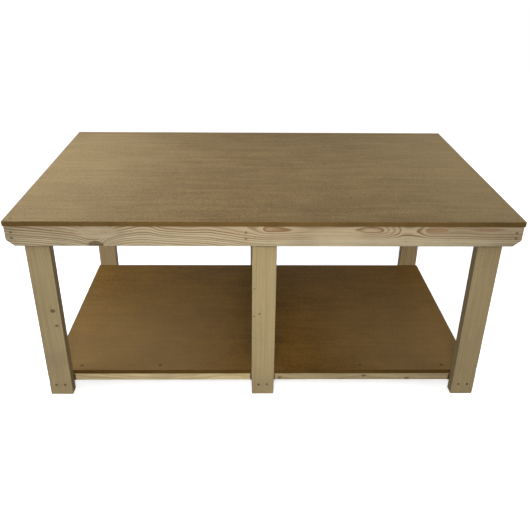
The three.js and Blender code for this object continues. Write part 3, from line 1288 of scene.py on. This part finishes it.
@dataclass(frozen=True)
class Screw:
    """One screw: where its head meets the face, which way the head looks and how much painted shade darkens its
    head.
    """

    name: str
    stock: Stock
    face_point: Point
    outward: Point
    node: Optional[str] = None
    painted_shade: float = 0.0

    def matrix(self, spin: float = 0.0) -> Matrix:
        """Give where the screw's own frame lies, with its head's top at the face."""
        turn = Vector(self.outward).to_track_quat("Z", "Y").to_matrix().to_4x4()
        return Matrix.Translation(self.face_point) @ turn @ Matrix.Rotation(spin, 4, "Z")

    def crosses(self, low: Vector, high: Vector) -> bool:
        """Tell whether the screw's line passes through a board's box.

        Args:
            low: The board's lowest corner.
            high: The board's highest corner.

        Returns:
            Whether any of the points tried along the screw lies in the box.
        """
        tries, slack = 40, 1e-6
        length = self.stock.value[2] * MM
        for part in range(tries + 1):
            spot = Vector(self.face_point) - Vector(self.outward) * length * part / tries
            if all(low[i] - slack <= spot[i] <= high[i] + slack for i in range(3)):
                return True
        return False


@dataclass
class Fasteners:
    """Every screw, its finish and the hole that it sits in.

    Sizes are in millimetres. Each ring of the crater is a share of the hole's radius and a height above
    the face. Each ring of the crown is a share of the head's radius and a depth below its top. Each
    ring of the tip is a share of the shank's radius and a share of the tip's length. The recess is
    given in shares of the head's diameter, and grows from its floor to its mouth.
    """

    finish: ScrewMetal
    sink: float = 1.0
    rim: float = 0.6
    tip: float = 8.0
    clearance: float = 0.3
    sides: int = 20
    ragged: float = 0.05
    spin_seed: int = 41
    crater: Line = ((1.08, 3.0), (1.07, 0.1), (1.01, -0.3))
    crown: Line = ((0.92, 0.02), (0.985, 0.1), (1.0, 0.3))
    tip_rings: Line = ((1.0, 1.0), (0.55, 0.45), (0.12, 0.0))
    recess_blade: float = 0.12
    recess_wing: float = 0.31
    recess_depth: float = 0.26
    recess_above: float = 1.0
    recess_growth: Pair = (1.15, 0.55)
    blade_taper: Pair = (0.6, 0.4)
    # How much painted shade darkens the heads of the foot screws.
    foot_shade: float = 0.6
    top_inner_x: Pair = (-342.0, 342.0)
    shelf_inner_x: Pair = (-425.0, 407.0)
    shelf_inset: float = 35.0
    screws: List[Screw] = field(init=False)
    meshes: Dict[Tuple[Stock, float], bpy.types.Mesh] = field(init=False, default_factory=dict)

    def __post_init__(self) -> None:
        """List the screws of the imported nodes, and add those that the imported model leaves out."""
        self.screws = self._from_nodes() + self._extra()

    def _from_nodes(self) -> List[Screw]:
        """Read each screw node's place from its box.

        Returns:
            The screws, in the order of their nodes' names.
        """
        found = []
        for node in sorted(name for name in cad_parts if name.endswith("_screw")):
            low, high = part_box(node)
            middle = (low + high) / 2
            span = high - low
            axis = max(range(3), key=lambda i: span[i])
            sign, painted_shade = 1.0, 0.0
            # Shelf screw heads are fully darkened and foot screw heads partly, as painted shade of their sunk holes.
            if node.startswith("top_"):
                stock = Stock.TOP
            elif node.startswith("shelf_"):
                stock, painted_shade = Stock.SHELF, 1.0
            elif node.endswith("leg_screw"):
                stock, sign = Stock.LEG, 1.0 if "_right_" in node else -1.0
            else:
                stock, sign = Stock.FRAME, -1.0 if node.startswith("front") else 1.0
                painted_shade = self.foot_shade if "_foot_" in node else 0.0
            outward = tuple(sign if i == axis else 0.0 for i in range(3))
            face = list(middle)
            face[axis] = (high[axis] if sign > 0 else low[axis]) + sign * self.sink * MM
            found.append(Screw(node, stock, tuple(face), outward, node, painted_shade))
        return found

    def _extra(self) -> List[Screw]:
        """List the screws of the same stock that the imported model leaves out.

        Returns:
            Four screws in the top and four in the shelf.
        """
        top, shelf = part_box("top_board")[1].z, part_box("shelf_board")[1].z
        hands = ("left", "right")
        more = []
        for side in ("front", "rear"):
            low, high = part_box(f"{side}_top_rail")
            for hand, x in zip(hands, self.top_inner_x):
                spot = (x * MM, (low.y + high.y) / 2, top)
                more.append(Screw(f"top_{side}_{hand}_inner_screw", Stock.TOP, spot, UPWARD))
        for side in ("front", "rear"):
            for hand, x in zip(hands, self.shelf_inner_x):
                low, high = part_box(f"{side}_{hand}_shelf_batten")
                y = low.y + self.shelf_inset * MM if side == "front" else high.y - self.shelf_inset * MM
                spot = (x * MM, y, shelf)
                # These heads are fully darkened with painted shade.
                more.append(Screw(f"shelf_{side}_{hand}_middle_screw", Stock.SHELF, spot, UPWARD, painted_shade=1.0))
        return more

    def drill(self, piece: bpy.types.Object, low: Vector, high: Vector) -> None:
        """Cut the holes of all the screws that pass through a board.

        Args:
            piece: The board.
            low: The board's lowest corner.
            high: The board's highest corner.
        """
        whole = bmesh.new()
        for number, screw in enumerate(self.screws):
            if not screw.crosses(low, high):
                continue
            head, shank, length = screw.stock.value
            wide, thin = head / 2 + self.clearance, shank / 2 + self.clearance
            drop = -self.sink - self.rim - self.clearance
            profile = [(wide * share, height) for share, height in self.crater]
            profile += [(wide, drop), (thin, drop - (wide - thin)), (thin, -self.sink - length - self.clearance)]
            part = lathe(profile, self.sides, self.ragged, number)
            part.transform(screw.matrix())
            spare = bpy.data.meshes.new("spare")
            part.to_mesh(spare)
            part.free()
            whole.from_mesh(spare)
            bpy.data.meshes.remove(spare)
        if whole.verts:
            mesh = bpy.data.meshes.new("holes")
            whole.to_mesh(mesh)
            mark(mesh, [1.0] * len(mesh.vertices))
            carve(piece, link("holes", mesh))
        whole.free()

    def _recess(self, head: float) -> bpy.types.Object:
        """Make the cutter of a cross recess.

        Args:
            head: The head's diameter.

        Returns:
            The cutter, marked all over for the painted shade of the recess.
        """
        blade, wing, top = head * self.recess_blade, head * self.recess_wing, -self.sink
        levels = (top + self.recess_above, top - head * self.recess_depth)
        cross = bmesh.new()
        rings = []
        for z, grow in zip(levels, self.recess_growth):
            b, w = blade * (self.blade_taper[0] + self.blade_taper[1] * grow), wing * grow
            outline = [(w, -b), (w, b), (b, b), (b, w), (-b, w), (-b, b),
                       (-w, b), (-w, -b), (-b, -b), (-b, -w), (b, -w), (b, -b)]
            rings.append([cross.verts.new((x * MM, y * MM, z * MM)) for x, y in outline])
        stack(cross, rings)
        bmesh.ops.recalc_face_normals(cross, faces=cross.faces)
        mesh = bpy.data.meshes.new("recess")
        cross.to_mesh(mesh)
        cross.free()
        mark(mesh, [1.0] * len(mesh.vertices))
        return link("recess", mesh)

    def _mesh(self, stock: Stock, painted_shade: float) -> bpy.types.Mesh:
        """Make a countersunk screw with a cross recess, head up, its head's top one sink below the face.

        Args:
            stock: Which screw.
            painted_shade: How much painted shade darkens the head, from 0 to 1.

        Returns:
            The mesh, shared by all the screws of that stock whose heads are as darkened.
        """
        if (stock, painted_shade) in self.meshes:
            return self.meshes[stock, painted_shade]
        head, shank, length = stock.value
        h, s, top = head / 2, shank / 2, -self.sink
        profile = [(h * share, top - drop) for share, drop in self.crown]
        profile += [(h, top - self.rim), (s, top - self.rim - (h - s))]
        profile += [(s * share, top - length + self.tip * part) for share, part in self.tip_rings]
        body = lathe(profile, self.sides)
        mesh = bpy.data.meshes.new(f"screw_{stock.name.lower()}")
        body.to_mesh(mesh)
        body.free()
        mark(mesh, [painted_shade] * len(mesh.vertices))
        piece = link("spare", mesh)
        carve(piece, self._recess(head))
        self.meshes[stock, painted_shade] = piece.data
        bpy.data.objects.remove(piece)
        return self.meshes[stock, painted_shade]

    def build(self) -> List[bpy.types.Object]:
        """Make every screw and set it in place, turned at random.

        Returns:
            The screws.
        """
        turn = random.Random(self.spin_seed)
        pieces = []
        for screw in self.screws:
            piece = link(f"{screw.name}_look", self._mesh(screw.stock, screw.painted_shade))
            piece.matrix_world = screw.matrix(turn.uniform(0.0, math.tau))
            pieces.append(piece)
        self.dress()
        for piece, screw in zip(pieces, self.screws):
            settle(piece, self.finish.slot, screw.node)
        return pieces

    def dress(self) -> None:
        """Give every screw mesh the one metal finish."""
        metal = self.finish.make()
        for mesh in self.meshes.values():
            mesh.materials.clear()
            mesh.materials.append(metal)
            smooth(mesh, SCREW_SHARP)


@dataclass
class TimberSet:
    """A sub-assembly of pine boards, in metres."""

    fasteners: Fasteners
    finish: Pine
    round_over: float = 2.2 * MM
    step: float = 45.0 * MM
    end_cut: Optional[Pair] = None

    def grains(self) -> Dict[str, Grain]:
        """Give how each board of the set was sawn."""
        raise NotImplementedError

    def chips(self, node: str) -> Tuple[Chip, ...]:
        """Give the knocks in one board's edges."""
        return ()

    def build(self) -> List[bpy.types.Object]:
        """Make every board of the set, with its holes and its finish.

        Returns:
            The boards.
        """
        pieces = []
        for number, (node, grain) in enumerate(self.grains().items()):
            low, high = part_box(node)
            board = BoardMesh(low, high, self.round_over, int(grain.seed * 10) + number, self.step,
                              self.chips(node), self.end_cut)
            piece = board.build(f"{node}_look")
            self.fasteners.drill(piece, low, high)
            self.dress(piece, node, grain)
            settle(piece, self.finish.slot, node)
            pieces.append(piece)
        return pieces

    def dress(self, piece: bpy.types.Object, node: str, grain: Grain) -> None:
        """Give one board its finish.

        Args:
            piece: The board.
            node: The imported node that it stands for.
            grain: How it was sawn.
        """
        low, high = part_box(node)
        piece.data.materials.clear()
        piece.data.materials.append(self.finish.make(node, (low + high) / 2, grain))
        smooth(piece.data, BOARD_SHARP)


@dataclass
class LongRails(TimberSet):
    """The two long top rails, on edge, with their lower end corners cut off."""

    end_cut: Optional[Pair] = (28.0 * MM, 23.0 * MM)

    def grains(self) -> Dict[str, Grain]:
        """Give how each long rail was sawn, with the front one's figure in its place.

        Returns:
            The grain of each rail.
        """
        front = Grain(
            Run.ALONG_X, 1.3, pith=(27.0, 2.0), slope=0.006, spacing=8.2, wander=8.0, figure=1.0,
            tint=(1.02, 1.04, 1.13),
            pith_line=((-912, 46), (-700, 46), (-605, 46), (-450, 52), (-300, 52), (-150, 44), (-60, 33),
                       (40, 27), (912, 27)),
            profile=((-912, 2), (-850, 5), (-800, 8), (-740, 13), (-680, 20), (-640, 27), (-605, 33), (-575, 26),
                     (-545, 13), (-500, 4), (-440, 0), (-380, 2), (-300, 6), (-200, 10), (-100, 13), (0, 11),
                     (200, 6), (400, 4), (500, 0), (700, 2), (912, 4)),
            crest=((-912, 0), (-480, 0), (-430, -5), (-390, -2), (-340, 5), (-290, 5), (-230, 1), (-180, -1),
                   (-100, 1), (-50, 4), (-10, 11), (40, 16), (80, 15), (130, 13), (200, 12), (260, 13),
                   (330, 16), (385, 20), (416, 18), (440, 11), (470, 1), (500, -6), (530, -4), (565, 4),
                   (600, 10), (650, 8), (700, 7), (740, 8), (790, 9), (850, 8), (912, 6)),
            flames=(Patch((57.0, 24.0), (44.0, 8.0), 0.5), Patch((605.0, 24.0), (44.0, 9.0), 0.75),
                    Patch((786.0, 26.0), (66.0, 7.0), 0.7)),
            plains=(Patch((-590.0, 14.0), (75.0, 26.0), 0.9), Patch((430.0, -24.0), (470.0, 22.0), 0.72),
                    Patch((245.0, 8.0), (110.0, 26.0), 0.7)),
            knots=(Knot(-598.0, -34.0, 14.0, 1.7, 4.0),))
        rear = Grain(
            Run.ALONG_X, 7.7, pith=(-22.0, -60.0), slope=0.01, spacing=8.0, wander=22.0, figure=0.7,
            tint=(1.0, 1.0, 1.0), knots=(Knot(320.0, 12.0, 8.0),))
        return {"front_top_rail": front, "rear_top_rail": rear}


@dataclass
class CrossRails(TimberSet):
    """The three top cross rails, on edge between the long rails."""

    def grains(self) -> Dict[str, Grain]:
        """Give how each top cross rail was sawn.

        Returns:
            The grain of each rail.
        """
        run = Run.ALONG_Y
        return {
            "left_top_cross_rail": Grain(run, 2.1, pith=(10.0, -48.0), spacing=7.0),
            "middle_top_cross_rail": Grain(run, 3.4, pith=(-20.0, 52.0), spacing=8.0,
                                           knots=(Knot(-120.0, 6.0, 8.0),)),
            "right_top_cross_rail": Grain(run, 4.9, pith=(24.0, 44.0), spacing=7.6),
        }


@dataclass
class Legs(TimberSet):
    """The six legs, wide face to the front."""

    round_over: float = 2.6 * MM

    def grains(self) -> Dict[str, Grain]:
        """Give how each leg was sawn.

        Returns:
            The grain of each leg.
        """
        run = Run.ALONG_Z
        # The outer legs' inner side faces carry painted shade.
        return {
            "front_left_leg": Grain(
                run, 5.2, pith=(120.0, -30.0), slope=0.01, spacing=5.0, wander=14.0, figure=0.22, shaded_side=0.9,
                flames=(Patch((26.0, 13.0), (20.0, 6.0), 0.25),),
                knots=(Knot(14.0, 18.0, 8.0, 0.9, 5.0), Knot(-52.0, 24.0, 6.0, 0.8, 5.0),
                       Knot(-308.0, -43.5, 3.5, 1.0, 2.0))),
            "front_middle_leg": Grain(
                run, 6.6, pith=(-130.0, -20.0), slope=-0.008, spacing=5.5, wander=14.0, figure=0.22,
                knots=(Knot(1.0, -17.0, 4.5, 0.6, 4.0), Knot(109.0, -36.0, 3.0, 0.8, 4.0),
                       Knot(-10.0, -37.0, 3.0, 0.8, 3.0))),
            "front_right_leg": Grain(
                run, 8.1, pith=(140.0, -40.0), slope=0.008, spacing=5.0, wander=14.0, figure=0.25,
                shaded_side=-0.66),
            "rear_left_leg": Grain(
                run, 9.3, pith=(-90.0, -30.0), slope=0.006, spacing=6.0, wander=14.0, figure=0.8,
                shaded_side=1.0, tint=(0.93, 0.86, 0.74)),
            "rear_middle_leg": Grain(
                run, 10.4, pith=(60.0, 46.0), slope=-0.01, spacing=7.0, figure=0.4),
            "rear_right_leg": Grain(
                run, 11.8, pith=(-90.0, 50.0), slope=0.01, spacing=6.0, figure=0.5,
                shaded_side=-1.0, tint=(0.92, 0.84, 0.72), knots=(Knot(-90.0, 10.0, 6.0),)),
        }

    def chips(self, node: str) -> Tuple[Chip, ...]:
        """Give the knocks in one leg's edges.

        Args:
            node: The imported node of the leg.

        Returns:
            The knocks.
        """
        low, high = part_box(node)
        outer = low.y if node.startswith("front") else high.y
        knocks = {
            "front_left_leg": (Chip((low.x, outer, 0.07), 0.007, 0.006), Chip((high.x, outer, 0.2), 0.009, 0.002)),
            "front_middle_leg": (Chip((high.x, outer, 0.31), 0.01, 0.003),),
            "front_right_leg": (Chip((high.x, outer, 0.12), 0.009, 0.004),),
            "rear_left_leg": (Chip((low.x, outer, 0.4), 0.01, 0.004),),
            "rear_right_leg": (Chip((high.x, outer, 0.16), 0.008, 0.004),),
        }
        return knocks.get(node, ())


@dataclass
class LowerRails(TimberSet):
    """The three lower cross rails, laid flat between the front and rear legs, with ends darkened by painted shade.
    """

    # How dark the painted shade on the ends is; the ends show only in the narrow shaded gaps beside the legs.
    end_shade: float = 0.3

    def grains(self) -> Dict[str, Grain]:
        """Give how each lower cross rail was sawn.

        Returns:
            The grain of each rail.
        """
        run, tone = Run.ALONG_Y_FLAT, self.end_shade
        return {
            "left_lower_cross_rail": Grain(run, 12.2, pith=(12.0, -50.0), spacing=8.0, end_shade=tone),
            "middle_lower_cross_rail": Grain(run, 13.6, pith=(-18.0, 48.0), spacing=8.4, end_shade=tone),
            "right_lower_cross_rail": Grain(run, 14.1, pith=(20.0, -46.0), spacing=7.4, end_shade=tone,
                                            knots=(Knot(150.0, -8.0, 8.0),)),
        }


@dataclass
class Battens(TimberSet):
    """The four battens under the shelf's long edges."""

    round_over: float = 1.8 * MM
    ring_spacing: float = 6.0
    ring_wander: float = 16.0

    def grains(self) -> Dict[str, Grain]:
        """Give how each batten was sawn.

        Returns:
            The grain of each batten.
        """
        run = Run.ALONG_X
        sawn = {"spacing": self.ring_spacing, "wander": self.ring_wander}
        return {
            "front_left_shelf_batten": Grain(run, 15.5, pith=(26.0, -60.0), tint=(1.29, 1.27, 1.17), **sawn),
            "front_right_shelf_batten": Grain(
                run, 16.7, pith=(-30.0, -58.0), tint=(0.89, 0.87, 0.81), **sawn,
                knots=(Knot(-340.0, -4.5, 4.5, 1.8, 5.0), Knot(190.0, -9.5, 5.0, 2.0, 5.0),
                       Knot(9.0, 3.5, 4.5, 1.8, 4.0))),
            "rear_left_shelf_batten": Grain(run, 17.2, pith=(30.0, -64.0), **sawn),
            "rear_right_shelf_batten": Grain(run, 18.9, pith=(-24.0, -60.0), **sawn),
        }


@dataclass
class SheetBoard:
    """A sub-assembly of one sheet board, screwed down through its face, in metres."""

    fasteners: Fasteners
    finish: Sheet
    node: str
    round_over: float = 1.0 * MM
    step: float = 60.0 * MM
    face_gap: float = 0.2 * MM
    face_tilt: float = 0.9

    def build(self) -> bpy.types.Object:
        """Make the board, with its screw holes, its face and its edge finish.

        Returns:
            The board.
        """
        low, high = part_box(self.node)
        piece = BoardMesh(low, high, self.round_over, len(self.node), self.step).build(f"{self.node}_look")
        self.fasteners.drill(piece, low, high)
        self.dress(piece)
        settle(piece, self.finish.slot, self.node)
        return piece

    def dress(self, piece: bpy.types.Object) -> None:
        """Give the board its two finishes, one for the broad faces and one for the rest.

        Args:
            piece: The board.
        """
        low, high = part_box(self.node)
        middle = (low + high) / 2
        heads = [tuple((Vector(screw.face_point) - middle) / MM) for screw in self.fasteners.screws
                 if screw.outward[2] > 0 and screw.crosses(low, high)]
        piece.data.materials.clear()
        piece.data.materials.append(self.finish.make_face(self.node, middle, heads))
        piece.data.materials.append(self.finish.make_edge(self.node, middle))
        for face in piece.data.polygons:
            gap = min(abs(face.center.z - low.z), abs(face.center.z - high.z))
            face.material_index = 0 if gap < self.face_gap and abs(face.normal.z) > self.face_tilt else 1
        smooth(piece.data, BOARD_SHARP)


@dataclass(frozen=True)
class Lamp:
    """One soft studio lamp, in metres, watts and degrees."""

    name: str
    place: Point
    target: Point
    size: Pair
    power: float
    spread: float = 180.0
    tint: Point = (1.0, 1.0, 1.0)


@dataclass
class Studio:
    """The pale floor, the soft lamps and the camera.

    The camera is given by the photograph's pixels, by its place in metres and by its turns in degrees.
    The floor's glow grows from a near distance to a far one, in metres, so that only a faint shadow
    stays round the table.
    """

    image_size: float = 530.0
    focal_pixels: float = 652.246
    principal: Pair = (257.0, 314.0)
    camera_place: Point = (-0.06348, -2.73589, 1.62067)
    pitch: float = 29.7296
    yaw: float = 0.9948
    roll: float = 0.4895
    sensor: float = 36.0
    far_clip: float = 200.0
    room_light: float = 0.07
    floor_span: float = 40.0
    floor_unseen: Colour = (0.35, 0.35, 0.35, 1.0)
    floor_seen: Colour = (0.9, 0.9, 0.9, 1.0)
    glow_distance: Pair = (0.8, 2.6)
    glow_strength: Pair = (0.62, 0.95)
    lamps: Tuple[Lamp, ...] = (
        Lamp("front_lamp", (-0.1, -2.95, 1.75), (-0.06, -0.6, 0.45), (1.0, 0.7), 8.9, 70.0),
        Lamp("high_front_lamp", (0.0, -3.0, 3.0), (0.0, -0.3, 0.5), (2.5, 1.2), 11.0),
        Lamp("rear_lamp", (0.1, 3.3, 0.22), (0.0, 0.5, 0.3), (2.0, 0.3), 46.0),
        Lamp("left_lamp", (-2.3, -0.4, 1.7), (-0.3, 0.0, 0.6), (1.6, 1.6), 47.0, 180.0, (0.93, 0.99, 1.18)),
        Lamp("right_lamp", (2.3, -0.7, 1.6), (0.3, 0.0, 0.6), (1.6, 1.6), 18.0, 180.0, (0.94, 0.99, 1.14)),
        Lamp("low_right_lamp", (3.3, 0.1, 0.22), (0.9, 0.0, 0.3), (2.0, 0.3), 10.0),
        Lamp("high_left_lamp", (-1.3, 0.6, 2.7), (-0.8, 0.3, 0.78), (1.2, 1.2), 3.9, 60.0, (0.96, 1.0, 1.12)),
        Lamp("high_right_lamp", (1.3, 0.6, 2.7), (0.8, 0.3, 0.78), (1.2, 1.2), 2.6, 60.0, (0.96, 1.0, 1.12)),
    )

    def camera(self) -> bpy.types.Object:
        """Set the camera where the photograph was taken from.

        Returns:
            The camera.
        """
        lens = bpy.data.cameras.new("camera")
        lens.sensor_width = self.sensor
        lens.lens = self.focal_pixels / self.image_size * self.sensor
        lens.shift_x = (self.image_size / 2 - self.principal[0]) / self.image_size
        lens.shift_y = (self.principal[1] - self.image_size / 2) / self.image_size
        lens.clip_end = self.far_clip
        pitch, yaw, roll = (math.radians(a) for a in (self.pitch, self.yaw, self.roll))
        ahead = Vector((math.sin(yaw) * math.cos(pitch), math.cos(yaw) * math.cos(pitch), -math.sin(pitch)))
        right = Vector((math.cos(yaw), -math.sin(yaw), 0.0))
        up = right.cross(ahead)
        across = right * math.cos(roll) + up * math.sin(roll)
        above = up * math.cos(roll) - right * math.sin(roll)
        turn = Matrix((across, above, -ahead)).transposed().to_4x4()
        camera = link("camera", lens)
        camera.matrix_world = Matrix.Translation(self.camera_place) @ turn
        bpy.context.scene.camera = camera
        return camera

    def light(self) -> None:
        """Hang the soft lamps and set the even light of the room."""
        for lamp in self.lamps:
            data = bpy.data.lights.new(lamp.name, "AREA")
            data.shape, data.size, data.size_y = "RECTANGLE", lamp.size[0], lamp.size[1]
            data.energy, data.color, data.spread = lamp.power, lamp.tint, math.radians(lamp.spread)
            piece = link(lamp.name, data)
            aim = Vector(lamp.target) - Vector(lamp.place)
            piece.matrix_world = Matrix.Translation(lamp.place) @ aim.to_track_quat("-Z", "Y").to_matrix().to_4x4()
            piece.visible_camera = False
        world = bpy.data.worlds.new("studio")
        bpy.context.scene.world = world
        world.use_nodes = True
        g = Graph(world.node_tree)
        back = next(n for n in g.tree.nodes if n.type == "BACKGROUND")
        back.inputs["Color"].default_value = WHITE
        strength = g.math("MULTIPLY_ADD", self._seen(g), 1 - self.room_light, self.room_light)
        g.feed(back.inputs["Strength"], strength)

    @staticmethod
    def _seen(g: Graph) -> Socket:
        """Tell the rays from the camera, a mirror or glass from the rest.

        Args:
            g: The graph of the floor or the room.

        Returns:
            1 for those rays, and 0 for the rest.
        """
        path = g.add("ShaderNodeLightPath")
        some = g.math("MAXIMUM", path.outputs["Is Camera Ray"], path.outputs["Is Glossy Ray"])
        return g.math("MAXIMUM", some, path.outputs["Is Transmission Ray"])

    def floor(self) -> bpy.types.Object:
        """Lay the pale floor.

        Returns:
            The floor.
        """
        half = self.floor_span / 2
        corners = [(-half, -half, 0.0), (half, -half, 0.0), (half, half, 0.0), (-half, half, 0.0)]
        mesh = bpy.data.meshes.new("floor")
        mesh.from_pydata(corners, [], [(0, 1, 2, 3)])
        floor = link("floor", mesh)
        material, g, surface = Finish.begin("floor_paint")
        seen = self._seen(g)
        surface.inputs["Roughness"].default_value = 1.0
        surface.inputs["Specular IOR Level"].default_value = 0.0
        g.feed(surface.inputs["Base Color"], g.mix(seen, self.floor_unseen, self.floor_seen))
        surface.inputs["Emission Color"].default_value = WHITE
        spot = g.add("ShaderNodeTexCoord").outputs["Object"]
        glow = g.ramp(g.vector("LENGTH", spot), *self.glow_distance, *self.glow_strength)
        g.feed(surface.inputs["Emission Strength"], g.math("MULTIPLY", seen, glow))
        mesh.materials.append(material)
        return floor


def main() -> None:
    """Build the table and its studio in order."""
    logging.basicConfig(level=logging.INFO, format="%(name)s: %(message)s")
    bpy.context.scene.view_settings.view_transform = "Standard"
    studio = Studio()
    studio.camera()
    studio.light()
    studio.floor()
    effects = Effects()
    pine = Pine(effects)
    fasteners = Fasteners(ScrewMetal(effects))
    # The top's painted light pales its face towards both ends.
    top = Sheet(effects, "top_sheet", face="90784F", fleck="5B472A", pale="968059", seed=1.7,
                painted_light=0.23, painted_light_colour="B39E72")
    # The shelf's face and edge colours are darker than the top's, as painted shade from the top above it; its
    # painted light pales the front and the ends.
    shelf = Sheet(effects, "shelf_sheet", face="775621", fleck="492F0D", pale="856531", edge="6B4F24",
                  edge_fleck="473212", edge_streak="644A20", edge_worn="463214", seed=6.1, shine=0.04,
                  painted_light=0.52, painted_shade_middle=120.0, painted_light_span=(20.0, 550.0), painted_light_far=0.2, hole_shade_reach=7.0)
    SheetBoard(fasteners, top, "top_board").build()
    LongRails(fasteners, pine).build()
    CrossRails(fasteners, pine).build()
    Legs(fasteners, pine).build()
    LowerRails(fasteners, pine).build()
    Battens(fasteners, pine).build()
    SheetBoard(fasteners, shelf, "shelf_board").build()
    fasteners.build()


if __name__ == "__main__":
    main()
